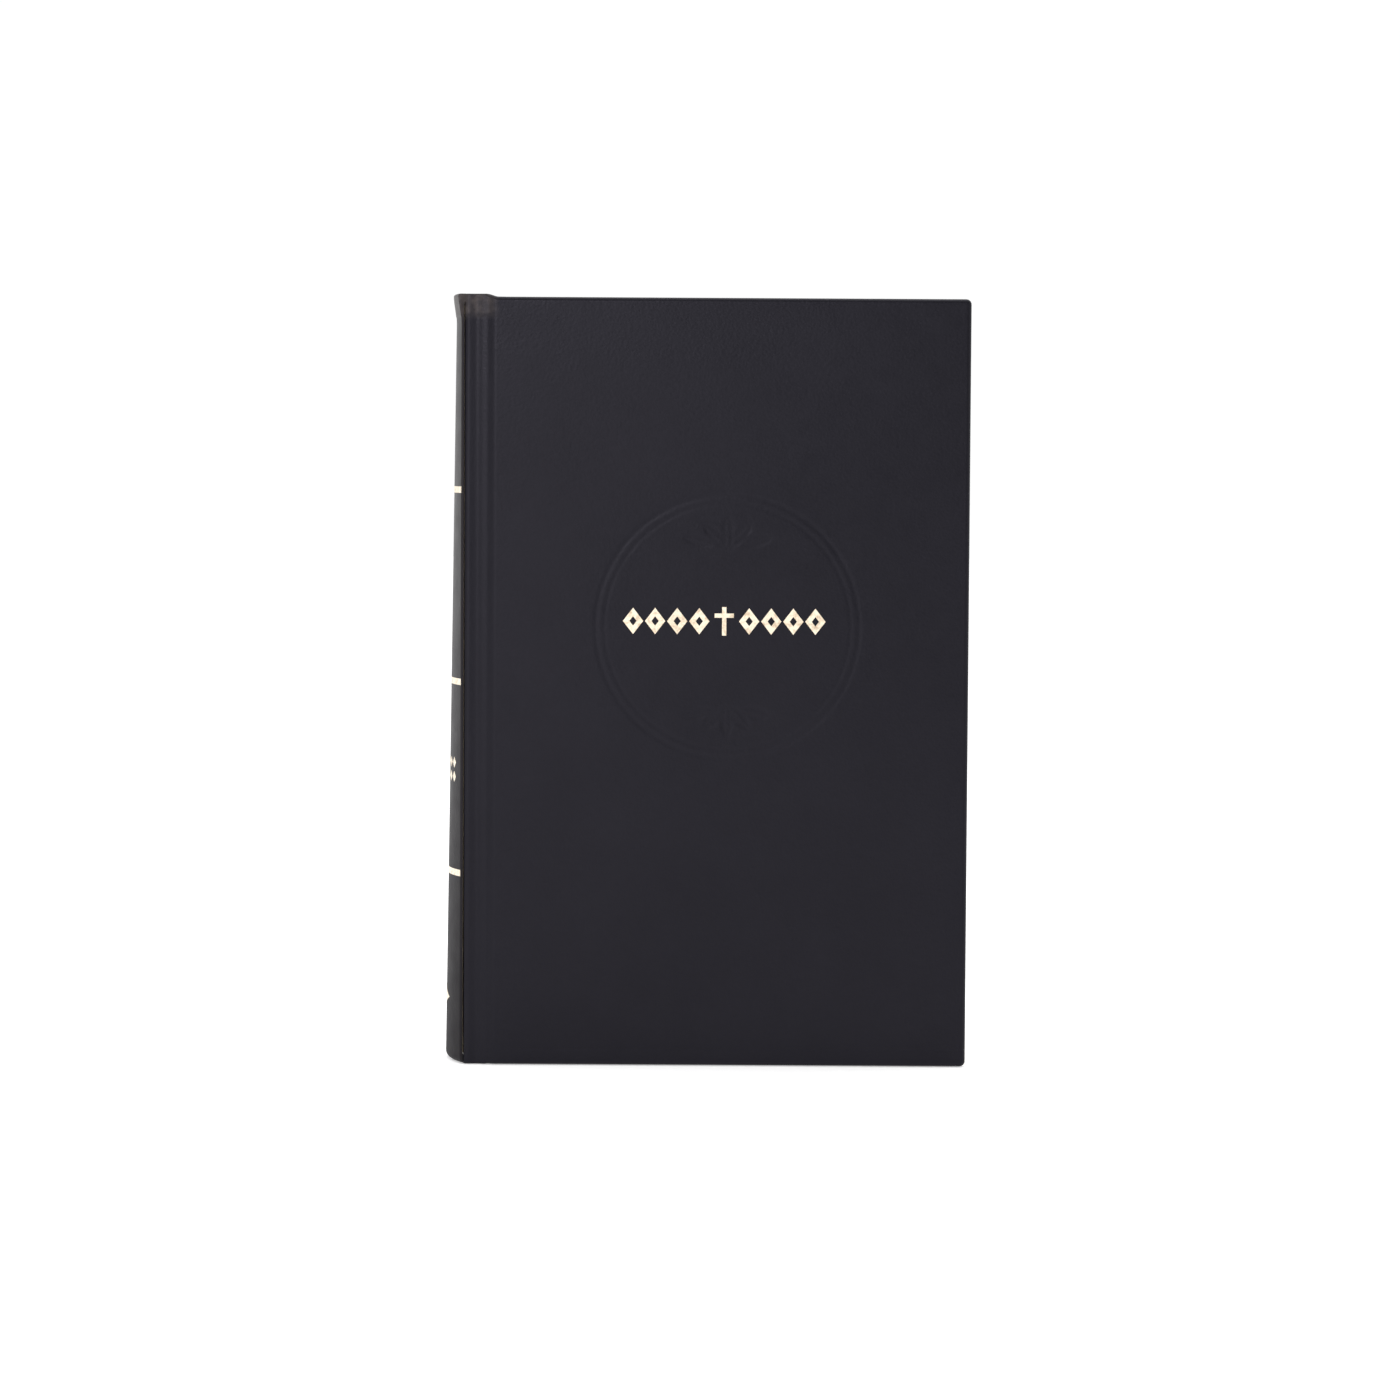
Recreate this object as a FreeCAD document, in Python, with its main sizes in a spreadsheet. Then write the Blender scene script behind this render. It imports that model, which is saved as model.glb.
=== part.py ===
"""A case-bound bible standing on its tail, as a parametric document.

Millimetres. +Z runs up the height, the front cover faces -Y and the spine is on the -X side.
The origin is the middle of the footprint, on the surface that the book stands on.
"""
import FreeCAD, Part
import math
import os

import Sketcher
from FreeCAD import Rotation, Vector

doc = FreeCAD.newDocument("bible")

SIGNATURES = 12          # sewn sections in the block
LEAVES = 5               # turning leaves behind each flyleaf
THREAD_STATIONS = 5      # rows of sewing along the spine
SPINE_BANDS = 3          # foil bands round the spine

DIMENSIONS = [
    # the case
    ("overall_width", 147.6),      # spine to fore-edge, at the tail
    ("cover_height", 216.0),
    ("book_thickness", 36.0),
    ("leather", 0.6),
    ("board", 2.3),
    ("square", 3.0),               # the boards' overhang round the block
    ("turn_in", 0.3),              # leather pared thin where it is turned over
    ("turn_in_width", 14.0),
    ("corner_radius", 1.3),
    ("edge_radius", 0.9),
    # the joint
    ("joint_width", 7.1),          # hinge line to board
    ("joint_drop", 0.8),           # hinge line below the board's face
    ("groove_drop", 0.5),          # groove below the hinge line
    ("hinge_inset", 0.65),         # spine's corner to hinge line
    ("slot", 0.3),                 # free play beside the hinge line
    # the case spine, which bows out more at the tail than at the head
    ("rise_tail", 5.0),
    ("rise_head", 2.2),
    ("spine_half_chord", 17.0),
    ("inlay", 0.7),
    ("inlay_half_chord", 15.5),
    ("cap_rise", 0.8),              # the head cap stands this far above the boards
    ("cap_flare", 0.5),
    ("cap_half_chord", 16.2),
    # behind the case spine
    ("lining", 0.2),
    ("mull", 0.25),
    ("glue", 0.35),
    ("lining_margin", 8.0),
    ("thread_radius", 0.15),
    ("head_band_size", 1.6),
    # paper
    ("pastedown", 0.2),
    ("pastedown_margin", 3.0),
    ("hinge_cloth", 0.2),
    ("hinge_cloth_width", 22.0),
    ("leaf", 0.16),
    ("leaf_pitch", 0.3),
    ("leaf_clearance", 0.4),       # pastedown to the middle of the flyleaf
    ("leaf_inset", 2.55),          # spine's corner to the flyleaf's fold
    ("leaf_step", 0.5),            # each fold further in than the one outside it
    ("block_half", 12.5),
    ("block_rise", 1.6),
    ("block_inset", 1.85),         # spine's corner to the block's shoulder
    # foil
    ("foil", 0.05),
    ("band_height", 1.8),
    ("ornament_height", 125.5),
    ("ornament_offset", -1.3),     # from the middle of the board
    ("cross_height", 8.0),
    ("cross_width", 5.4),
    ("cross_bar", 1.2),
    ("lozenge_width", 5.7),
    ("lozenge_height", 7.4),
    ("lozenge_eye", 0.36),         # the opening in a lozenge, as a share of it
    ("lozenge_pitch", 6.2),
    ("lozenge_start", 7.0),
    ("spine_rows_height", 83.0),
    ("spine_row_pitch", 4.0),
    ("spine_lozenge", 3.0),
    ("spine_lozenge_pitch", 3.9),
    ("spine_mark_height", 18.0),
    ("spine_mark_width", 18.0),
    ("spine_mark_tall", 6.4),
]
LOZENGES_A_SIDE = 4       # on the front, either side of the cross
LOZENGES_A_ROW = 7        # on the spine, in each of its two rows

sheet = doc.addObject("Spreadsheet::Sheet", "Dims")
for row, (alias, value) in enumerate(DIMENSIONS, start=1):
    sheet.set(f"A{row}", alias)
    sheet.set(f"B{row}", str(value))
    sheet.setAlias(f"B{row}", alias)
doc.recompute()
size = dict(DIMENSIONS)


def cell(alias):
    """The expression that reads one dimension."""
    return f"Dims.{alias}"


def arc_radius(half_chord, rise):
    """The radius of an arc from its half chord and its rise."""
    return f"(({half_chord} ^ 2 + {rise} ^ 2) / (2 * {rise}))"


# Expressions for the lines that several pieces share.
LEFT = f"(-{cell('overall_width')} / 2)"
RIGHT = f"({cell('overall_width')} / 2)"
FACE = f"({cell('book_thickness')} / 2)"
CORNER_X = f"({LEFT} + {cell('rise_tail')})"
HINGE_X = f"({CORNER_X} + {cell('hinge_inset')})"
HINGE_Y = f"({FACE} - {cell('joint_drop')})"
BOARD_X = f"({HINGE_X} + {cell('joint_width')})"
BOARD_X_IN = f"({BOARD_X} + {cell('leather')})"
JOINT_IN = f"({HINGE_Y} - {cell('leather')})"
BOARD_OUT = f"({FACE} - {cell('leather')})"
BOARD_IN = f"({BOARD_OUT} - {cell('board')})"
TURN_IN_FACE = f"({BOARD_IN} - {cell('turn_in')})"
COVER_IN = f"({TURN_IN_FACE} - {cell('pastedown')})"
BLOCK_RADIUS = arc_radius(cell("block_half"), cell("block_rise"))
BLOCK_ARC_X = f"({CORNER_X} + {cell('block_inset')} - {cell('block_rise')} + {BLOCK_RADIUS})"
GLUE_OUT = f"({BLOCK_RADIUS} + {cell('glue')})"
MULL_OUT = f"({GLUE_OUT} + {cell('mull')})"
LINING_OUT = f"({MULL_OUT} + {cell('lining')})"
BLOCK_HEIGHT = f"({cell('cover_height')} - 2 * {cell('square')})"
LEAF_X = f"({CORNER_X} + {cell('leaf_inset')})"
FLYLEAF_Y = f"({COVER_IN} - {cell('leaf_clearance')})"


def arc_reach(radius, y):
    """How far a circle of this radius lies from its centre, along X, at this Y."""
    return f"sqrt(({radius})^2 - ({y})^2)"


FORE_ARC_X = f"({RIGHT} - {cell('square')} + {arc_reach(BLOCK_RADIUS, FLYLEAF_Y)})"

subparts = []


def value(expression):
    """The number that an expression gives now."""
    return float(sheet.evalExpression(expression.replace("Dims.", "")))


# ---------------------------------------------------------------- how pieces are made

def new_body(label):
    body = doc.addObject("PartDesign::Body", label)
    body.Label = label
    subparts.append(body)
    return body


def new_sketch(body, role, offset):
    """A sketch on one of the body's own origin planes, moved along the plane's normal."""
    sketch = body.newObject("Sketcher::SketchObject", f"{body.Label}_outline")
    plane = next(f for f in body.Origin.OriginFeatures if f.Role == role)
    sketch.AttachmentSupport = [(plane, "")]
    sketch.MapMode = "FlatFace"
    sketch.setExpression("AttachmentOffset.Base.z", offset)
    return sketch


def pin(sketch, geometry, point, axis, expression):
    """Fix one coordinate of a point to an expression."""
    kind = {"x": "DistanceX", "y": "DistanceY"}[axis]
    now = getattr(sketch.getPoint(geometry, point), axis)
    index = sketch.addConstraint(Sketcher.Constraint(kind, -1, 1, geometry, point, now))
    sketch.setExpression(f"Constraints[{index}]", expression)


def arc_edge(sketch, here, there, centre_x, radius):
    """An arc about a point on the sketch's horizontal axis, bulging towards -X."""
    height = (here.y + there.y) / 2
    middle = Vector(value(centre_x) - math.sqrt(value(radius) ** 2 - height ** 2), height, 0)
    geometry = sketch.addGeometry(Part.ArcOfCircle(here, middle, there))
    pin(sketch, geometry, 3, "x", centre_x)
    index = sketch.addConstraint(Sketcher.Constraint("DistanceY", -1, 1, geometry, 3, 0.0))
    index = sketch.addConstraint(Sketcher.Constraint("Radius", geometry, value(radius)))
    sketch.setExpression(f"Constraints[{index}]", radius)
    return geometry


def outline(sketch, corners):
    """A closed outline of corners (x, y, arc), given as expressions.

    arc is None where the edge that leaves the corner is straight, or (centre_x, radius).
    x is None where an arc that ends on the corner settles it.
    """
    places = []
    for index, (x, y, arc) in enumerate(corners):
        if x is None:
            centre_x, radius = arc or corners[index - 1][2]
            x = f"{centre_x} - {arc_reach(radius, y)}"
        places.append(Vector(value(x), value(y), 0))
    edges = []
    for index, (x, y, arc) in enumerate(corners):
        here, there = places[index], places[(index + 1) % len(corners)]
        if arc:
            geometry = arc_edge(sketch, here, there, *arc)
        else:
            geometry = sketch.addGeometry(Part.LineSegment(here, there))
        starts_here = sketch.getPoint(geometry, 1).distanceToPoint(here) < 1e-6
        edges.append((geometry, 1, 2) if starts_here else (geometry, 2, 1))
    for index, (geometry, start, end) in enumerate(edges):
        following, first, last = edges[(index + 1) % len(edges)]
        sketch.addConstraint(Sketcher.Constraint("Coincident", geometry, end, following, first))
    for (x, y, arc), (geometry, start, end) in zip(corners, edges):
        pin(sketch, geometry, start, "y", y)
        if x is not None:
            pin(sketch, geometry, start, "x", x)


def rectangle(x0, y0, x1, y1):
    return [(x0, y0, None), (x1, y0, None), (x1, y1, None), (x0, y1, None)]


def lozenge(x, y, width, height):
    """A diamond round the point (x, y)."""
    return [(f"{x} - {width} / 2", y, None), (x, f"{y} - {height} / 2", None),
            (f"{x} + {width} / 2", y, None), (x, f"{y} + {height} / 2", None)]


def arc_band(centre_x, inner, outer, half_chord):
    """A curved strip between two radii, with ends square to the covers."""
    return [(None, f"-{half_chord}", (centre_x, outer)), (None, half_chord, None),
            (None, half_chord, (centre_x, inner)), (None, f"-{half_chord}", None)]


def spine_band(end, inner, outer, half_chord):
    """A strip of the case spine's curve at one end, from inner to outer.

    Both are distances outward from the leather's outer face, so what lies within is negative.
    """
    rise = cell(f"rise_{end}")
    radius = arc_radius(cell("spine_half_chord"), rise)
    centre_x = f"({CORNER_X} - {rise} + {radius})"
    return arc_band(centre_x, f"({radius} + {inner})", f"({radius} + {outer})", half_chord)


def pad(body, role, offset, length, *outlines):
    """Raise one or more outlines from an origin plane. XZ_Plane raises towards -Y."""
    sketch = new_sketch(body, role, offset)
    for corners in outlines:
        outline(sketch, corners)
    feature = body.newObject("PartDesign::Pad", f"{body.Label}_pad")
    feature.Profile = sketch
    feature.setExpression("Length", length)
    sketch.Visibility = False
    return feature


def spine_loft(body, inner, outer):
    """The case spine's curve from tail to head."""
    tail = new_sketch(body, "XY_Plane", "0")
    outline(tail, spine_band("tail", inner, outer, cell("spine_half_chord")))
    head = new_sketch(body, "XY_Plane", cell("cover_height"))
    outline(head, spine_band("head", inner, outer, cell("spine_half_chord")))
    feature = body.newObject("PartDesign::AdditiveLoft", f"{body.Label}_loft")
    feature.Profile = tail
    feature.Sections = [head]
    feature.Ruled = True
    tail.Visibility = False
    head.Visibility = False
    return feature


def pocket(body, role, offset, length, corners):
    """Cut an outline out of a body. XZ_Plane cuts towards +Y."""
    before = body.Shape.Volume
    sketch = new_sketch(body, role, offset)
    outline(sketch, corners)
    feature = body.newObject("PartDesign::Pocket", f"{body.Label}_pocket")
    feature.Profile = sketch
    feature.setExpression("Length", length)
    sketch.Visibility = False
    doc.recompute()
    assert body.Shape.Volume < before - 1, f"{body.Label}: the pocket cuts nothing"
    return feature


def fillet(body, radius, wanted):
    """Round the edges of the body that pass the test wanted(edge)."""
    doc.recompute()
    base = body.Tip
    names = [f"Edge{i}" for i, e in enumerate(base.Shape.Edges, start=1) if wanted(e)]
    assert names, f"{body.Label}: no edge to round"
    feature = body.newObject("PartDesign::Fillet", f"{body.Label}_fillet")
    feature.Base = (base, names)
    feature.setExpression("Radius", radius)
    return feature


def lies_at(edge, **coordinates):
    """True for an edge whose whole box lies at the given coordinates."""
    box = edge.BoundBox
    return all(abs(getattr(box, f"{axis.upper()}{end}") - place) < 1e-4
               for axis, place in coordinates.items() for end in ("Min", "Max"))


def slab(label, x0, y0, x1, y1, z0, height):
    """A flat sheet standing in the book, from expressions."""
    body = new_body(label)
    pad(body, "XY_Plane", z0, height, rectangle(x0, y0, x1, y1))
    return body


# ---------------------------------------------------------------- the two covers

def depth(side, y):
    """The Y of a face that lies y from the book's middle, on this side."""
    return f"-{y}" if side == "front" else y


def make_board(side):
    body = new_body(f"{side}_board")
    start = BOARD_IN if side == "front" else f"-{BOARD_OUT}"
    pad(body, "XZ_Plane", start, cell("board"),
        rectangle(BOARD_X_IN, cell("leather"), f"{RIGHT} - {cell('leather')}",
                  f"{cell('cover_height')} - {cell('leather')}"))
    return body


def make_cover_leather(side):
    """One sheet: over the board, turned in round three edges, and across the joint."""
    body = new_body(f"{side}_cover_leather")
    pad(body, "XY_Plane", "0", cell("cover_height"),
        [(BOARD_X, depth(side, FACE), None), (RIGHT, depth(side, FACE), None),
         (RIGHT, depth(side, TURN_IN_FACE), None), (BOARD_X_IN, depth(side, TURN_IN_FACE), None),
         (BOARD_X_IN, depth(side, JOINT_IN), None), (BOARD_X, depth(side, JOINT_IN), None)])
    sign = -1 if side == "front" else 1
    face, right = sign * value(FACE), value(RIGHT)
    for level in (0, size["cover_height"]):
        fillet(body, cell("corner_radius"), lambda e: lies_at(e, x=right, z=level))
    fillet(body, cell("edge_radius"),
           lambda e: lies_at(e, y=face) and (e.BoundBox.ZLength < 1 or e.BoundBox.XMax > 0))
    cut_start = f"{BOARD_OUT}" if side == "front" else f"-{BOARD_IN}"
    pocket(body, "XZ_Plane", cut_start, cell("board"),
           rectangle(BOARD_X_IN, cell("leather"), f"{RIGHT} - {cell('leather')}",
                     f"{cell('cover_height')} - {cell('leather')}"))
    cut_start = f"{BOARD_IN}" if side == "front" else f"-{TURN_IN_FACE}"
    pocket(body, "XZ_Plane", cut_start, cell("turn_in"),
           rectangle(BOARD_X_IN, cell("turn_in_width"), f"{RIGHT} - {cell('turn_in_width')}",
                     f"{cell('cover_height')} - {cell('turn_in_width')}"))
    groove = f"({HINGE_Y} - {cell('groove_drop')})"
    mid = f"{HINGE_X} + {cell('joint_width')} / 2"
    pad(body, "XY_Plane", "0", f"{cell('cover_height')} + {cell('cap_rise')}",
        [(f"{HINGE_X} + {cell('slot')}", depth(side, HINGE_Y), None),
         (mid, depth(side, groove), None),
         (f"{BOARD_X} + 0.2", depth(side, HINGE_Y), None),
         (f"{BOARD_X} + 0.2", depth(side, JOINT_IN), None),
         (mid, depth(side, f"({groove} - {cell('leather')})"), None),
         (f"{HINGE_X} + {cell('slot')}", depth(side, f"({HINGE_Y} - {cell('leather')})"), None)])
    return body


def make_hinge_cloth(side):
    """The flange of the mull that is pasted on the board."""
    cloth_in = f"({BOARD_IN} - {cell('hinge_cloth')})"
    return slab(f"{side}_hinge_cloth", BOARD_X_IN, depth(side, BOARD_IN),
                f"{BOARD_X_IN} + {cell('hinge_cloth_width')}", depth(side, cloth_in),
                f"{cell('turn_in_width')} + 1", f"{cell('cover_height')} - 2 * {cell('turn_in_width')} - 2")


def make_pastedown(side, leather, cloth):
    """Endpaper glued over the turn-ins, the cloth and the bare board between them."""
    sheet_box = doc.addObject("Part::Box", f"{side}_pastedown_box")
    low = f"-{BOARD_IN}" if side == "front" else COVER_IN
    sheet_box.setExpression("Length", f"{RIGHT} - {cell('pastedown_margin')} - {BOARD_X_IN}")
    sheet_box.setExpression("Width", f"{BOARD_IN} - {COVER_IN}")
    sheet_box.setExpression("Height", f"{cell('cover_height')} - 2 * {cell('pastedown_margin')}")
    sheet_box.setExpression("Placement.Base.x", BOARD_X_IN)
    sheet_box.setExpression("Placement.Base.y", low)
    sheet_box.setExpression("Placement.Base.z", cell("pastedown_margin"))
    beneath = doc.addObject("Part::MultiFuse", f"{side}_pastedown_beneath")
    beneath.Shapes = [leather, cloth]
    paper = doc.addObject("Part::Cut", f"{side}_pastedown")
    paper.Base = sheet_box
    paper.Tool = beneath
    paper.Label = f"{side}_pastedown"
    subparts.append(paper)


# ---------------------------------------------------------------- spine

def make_spine_leather():
    body = new_body("spine_leather")
    spine_loft(body, f"-{cell('leather')}", "0")
    pad(body, "XY_Plane", f"{cell('cover_height')} - {cell('leather')}",
        f"{cell('cap_rise')} + {cell('leather')}",
        spine_band("head", f"-({cell('leather')} + {cell('inlay')})", cell("cap_flare"),
                   cell("cap_half_chord")))


def make_spine_film(label, inner, outer, *cutters):
    """A layer on the case spine's curve, wherever one of the cutters crosses it."""
    blank = doc.addObject("PartDesign::Body", f"{label}_blank")
    spine_loft(blank, inner, outer)
    cutter = cutters[0]
    if len(cutters) > 1:
        cutter = doc.addObject("Part::MultiFuse", f"{label}_cutters")
        cutter.Shapes = cutters
    film = doc.addObject("Part::Common", label)
    film.Base = blank
    film.Tool = cutter
    film.Label = label
    subparts.append(film)


def spine_slice(label, half_width, level, height):
    """A block through the case spine, evenly about its middle."""
    block = doc.addObject("Part::Box", label)
    block.setExpression("Length", cell("spine_half_chord"))
    block.setExpression("Width", f"2 * {half_width}")
    block.setExpression("Height", height)
    block.setExpression("Placement.Base.x", f"{LEFT} - 1")
    block.setExpression("Placement.Base.y", f"-{half_width}")
    block.setExpression("Placement.Base.z", level)
    return block


def make_spine_inlay():
    """The card that stiffens the case spine, inside its leather."""
    end = f"({cell('leather')} + 0.1)"
    make_spine_film("spine_inlay", f"-({cell('leather')} + {cell('inlay')})", f"-{cell('leather')}",
                    spine_slice("inlay_slice", cell("inlay_half_chord"), end,
                                f"{cell('cover_height')} - 2 * {end}"))


def make_block_layer(label, inner, outer):
    """A layer on the back of the block, short of its head and tail."""
    body = new_body(label)
    margin = cell("lining_margin")
    pad(body, "XY_Plane", margin, f"{cell('cover_height')} - 2 * {margin}",
        arc_band(BLOCK_ARC_X, inner, outer, cell("block_half")))


def make_sewing_thread():
    """Rows of thread across the folds, lying in the glue."""
    rows = []
    radius = f"({BLOCK_RADIUS} + {cell('thread_radius')})"
    for station in range(THREAD_STATIONS):
        row = doc.addObject("Part::Torus", f"thread_row_{station + 1}")
        row.setExpression("Radius1", radius)
        row.setExpression("Radius2", cell("thread_radius"))
        reach = f"asin({cell('block_half')} * 0.96 / {radius})"
        row.setExpression("Angle3", f"2 * {reach}")
        level = f"{cell('cover_height')} * ({station} + 1) / {THREAD_STATIONS + 1}"
        row.setExpression("Placement.Base.x", BLOCK_ARC_X)
        row.setExpression("Placement.Base.z", level)
        row.Placement.Rotation = Rotation(Vector(0, 0, 1), 150)
        row.setExpression("Placement.Rotation.Angle", f"180 deg - {reach}")
        rows.append(row)
    thread = doc.addObject("Part::Compound", "sewing_thread")
    thread.Links = rows
    thread.Label = "sewing_thread"
    subparts.append(thread)
    return thread


def make_spine_glue(thread):
    """Adhesive on the folds, with the thread's rows cut out of it."""
    blank = doc.addObject("PartDesign::Body", "spine_glue_blank")
    pad(blank, "XY_Plane", cell("lining_margin"),
        f"{cell('cover_height')} - 2 * {cell('lining_margin')}",
        arc_band(BLOCK_ARC_X, BLOCK_RADIUS, GLUE_OUT, cell("block_half")))
    glue = doc.addObject("Part::Cut", "spine_glue")
    glue.Base = blank
    glue.Tool = thread
    glue.Label = "spine_glue"
    subparts.append(glue)


def make_end_band(label, level):
    """A woven band on the folds at one end of the block."""
    body = new_body(label)
    half = cell("head_band_size")
    pad(body, "XY_Plane", level, half,
        arc_band(BLOCK_ARC_X, f"({BLOCK_RADIUS} - {half} / 2)",
                 f"({BLOCK_RADIUS} + {half} / 2)", cell("block_half")))


# ---------------------------------------------------------------- paper

def make_signatures():
    """Sewn sections, rounded at the spine and hollowed by as much at the fore-edge."""
    pitch = f"(2 * {cell('block_half')} / {SIGNATURES})"
    for index in range(SIGNATURES):
        low = f"({index} * {pitch} - {cell('block_half')})"
        high = f"({index + 1} * {pitch} - {cell('block_half')})"
        body = new_body(f"signature_{index + 1:02d}")
        pad(body, "XY_Plane", cell("square"), BLOCK_HEIGHT,
            [(None, low, (BLOCK_ARC_X, BLOCK_RADIUS)), (None, high, None),
             (None, high, (FORE_ARC_X, BLOCK_RADIUS)), (None, low, None)])


def make_leaves(side):
    """The flyleaf and the leaves behind it, each free to turn about its fold."""
    for index in range(LEAVES + 1):
        name = f"{side}_flyleaf" if index == 0 else f"{side}_leaf_{index}"
        middle = f"({FLYLEAF_Y} - {index} * {cell('leaf_pitch')})"
        outer = depth(side, f"({middle} + {cell('leaf')} / 2)")
        inner = depth(side, f"({middle} - {cell('leaf')} / 2)")
        fold = f"({LEAF_X} + {index} * {cell('leaf_step')})"
        slab(name, fold, outer, f"{FORE_ARC_X} - {arc_reach(BLOCK_RADIUS, middle)}", inner,
             cell("square"), BLOCK_HEIGHT)


# ---------------------------------------------------------------- foil

def make_front_ornament():
    """A small cross between two rows of lozenges, in foil on the front cover."""
    body = new_body("front_foil_ornament")
    middle = f"(({BOARD_X} + {RIGHT}) / 2 + {cell('ornament_offset')})"
    level = cell("ornament_height")
    bar, tall, wide = cell("cross_bar"), cell("cross_height"), cell("cross_width")
    arm = f"({level} + {tall} / 5)"
    cross = [(f"{middle} - {bar} / 2", f"{level} - {tall} / 2", None),
             (f"{middle} + {bar} / 2", f"{level} - {tall} / 2", None),
             (f"{middle} + {bar} / 2", f"{arm} - {bar} / 2", None),
             (f"{middle} + {wide} / 2", f"{arm} - {bar} / 2", None),
             (f"{middle} + {wide} / 2", f"{arm} + {bar} / 2", None),
             (f"{middle} + {bar} / 2", f"{arm} + {bar} / 2", None),
             (f"{middle} + {bar} / 2", f"{level} + {tall} / 2", None),
             (f"{middle} - {bar} / 2", f"{level} + {tall} / 2", None),
             (f"{middle} - {bar} / 2", f"{arm} + {bar} / 2", None),
             (f"{middle} - {wide} / 2", f"{arm} + {bar} / 2", None),
             (f"{middle} - {wide} / 2", f"{arm} - {bar} / 2", None),
             (f"{middle} - {bar} / 2", f"{arm} - {bar} / 2", None)]
    shapes = [cross]
    for hand in ("-", "+"):
        for index in range(LOZENGES_A_SIDE):
            x = f"({middle} {hand} ({cell('lozenge_start')} + {index} * {cell('lozenge_pitch')}))"
            shapes.append(lozenge(x, level, cell("lozenge_width"), cell("lozenge_height")))
            shapes.append(lozenge(x, level, f"{cell('lozenge_width')} * {cell('lozenge_eye')}",
                                  f"{cell('lozenge_height')} * {cell('lozenge_eye')}"))
    pad(body, "XZ_Plane", FACE, cell("foil"), *shapes)
    return body


def make_spine_foil(label, *cutters):
    """Foil on the outside of the case spine, wherever one of the cutters crosses it."""
    make_spine_film(label, "0", cell("foil"), *cutters)


def band_cutter(index):
    """A slice of the spine at one of the even divisions of its height."""
    height = cell("band_height")
    return spine_slice(f"band_slice_{index}", f"({cell('spine_half_chord')} - 0.3)",
                       f"{cell('cover_height')} * {index} / {SPINE_BANDS + 1} - {height} / 2", height)


def outline_cutter(label, *outlines):
    """Outlines seen from the spine side, as prisms."""
    prism = doc.addObject("PartDesign::Body", f"{label}_prism")
    pad(prism, "YZ_Plane", f"{LEFT} - 1", cell("spine_half_chord"), *outlines)
    return prism


def spine_row_outlines():
    """Two rows of small lozenges across the spine."""
    across = cell("spine_lozenge")
    return [lozenge(f"(({column} - {LOZENGES_A_ROW // 2}) * {cell('spine_lozenge_pitch')})",
                    f"({cell('spine_rows_height')} + {hand} * {cell('spine_row_pitch')} / 2)",
                    across, across)
            for hand in (-1, 1) for column in range(LOZENGES_A_ROW)]


def spine_mark_outlines():
    """A broad lozenge with an opening in it."""
    level, wide, tall = cell("spine_mark_height"), cell("spine_mark_width"), cell("spine_mark_tall")
    eye = cell("lozenge_eye")
    return [lozenge("0", level, wide, tall), lozenge("0", level, f"{wide} * {eye}", f"{tall} * {eye}")]


# ---------------------------------------------------------------- the book

for side in ("front", "back"):
    make_board(side)
    leather = make_cover_leather(side)
    cloth = make_hinge_cloth(side)
    make_pastedown(side, leather, cloth)
    make_leaves(side)
make_spine_leather()
make_spine_inlay()
make_block_layer("spine_lining", MULL_OUT, LINING_OUT)
make_block_layer("spine_mull", GLUE_OUT, MULL_OUT)
make_spine_glue(make_sewing_thread())
make_end_band("tail_band", f"({cell('square')} - {cell('head_band_size')})")
make_end_band("head_band", f"({cell('cover_height')} - {cell('square')})")
make_signatures()
make_front_ornament()
make_spine_foil("spine_foil_bands", *[band_cutter(i + 1) for i in range(SPINE_BANDS)])
make_spine_foil("spine_foil_rows", outline_cutter("spine_foil_rows", *spine_row_outlines()))
make_spine_foil("spine_foil_mark", outline_cutter("spine_foil_mark", *spine_mark_outlines()))

doc.recompute()
for item in doc.Objects:
    assert "Invalid" not in item.State and "Error" not in item.State, f"{item.Label}: {item.State}"
for item in subparts:
    assert not item.Shape.isNull() and item.Shape.isValid(), f"{item.Label}: bad shape"

os.makedirs("parts", exist_ok=True)
for item in subparts:
    item.Shape.exportStep(f"parts/{item.Label}.step")
    print(f"{item.Label:24s} {len(item.Shape.Solids):3d} solids {item.Shape.Volume:12.2f} mm3")
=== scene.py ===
import math

import bmesh
import bpy
import numpy as np
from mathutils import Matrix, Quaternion, Vector


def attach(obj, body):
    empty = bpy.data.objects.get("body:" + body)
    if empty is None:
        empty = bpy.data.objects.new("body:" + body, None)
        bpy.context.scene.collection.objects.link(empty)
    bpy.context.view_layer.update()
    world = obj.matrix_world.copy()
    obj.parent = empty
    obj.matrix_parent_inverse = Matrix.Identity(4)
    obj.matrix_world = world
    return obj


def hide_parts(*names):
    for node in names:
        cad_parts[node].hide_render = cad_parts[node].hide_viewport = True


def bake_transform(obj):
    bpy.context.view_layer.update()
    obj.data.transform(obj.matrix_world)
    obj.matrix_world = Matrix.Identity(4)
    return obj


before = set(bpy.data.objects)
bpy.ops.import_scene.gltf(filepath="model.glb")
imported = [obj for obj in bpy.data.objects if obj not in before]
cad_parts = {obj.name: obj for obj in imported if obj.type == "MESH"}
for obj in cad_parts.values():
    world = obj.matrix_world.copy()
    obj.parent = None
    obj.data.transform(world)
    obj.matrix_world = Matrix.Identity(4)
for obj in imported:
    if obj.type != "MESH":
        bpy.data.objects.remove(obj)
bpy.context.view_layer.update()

# Millimetres from here on, in the book's frame: +Z up, front cover towards -Y, spine on -X.
MM = 0.001

# The case: two covers, and between them a spine that bows out more at the tail than at the head.
# FACE and COVER_INSIDE are a cover's two sides, and TURN_IN is how far its leather goes in.
RIGHT, HEIGHT = 73.8, 216.0
FACE, COVER_INSIDE = 18.0, 14.8
SPINE_HALF, RISE_TAIL, RISE_HEAD = 17.0, 5.0, 2.2
CREASE_X = RISE_TAIL - RIGHT
BOARD_X = CREASE_X + 7.75
LEATHER, TURN_IN = 0.6, 14.1

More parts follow.
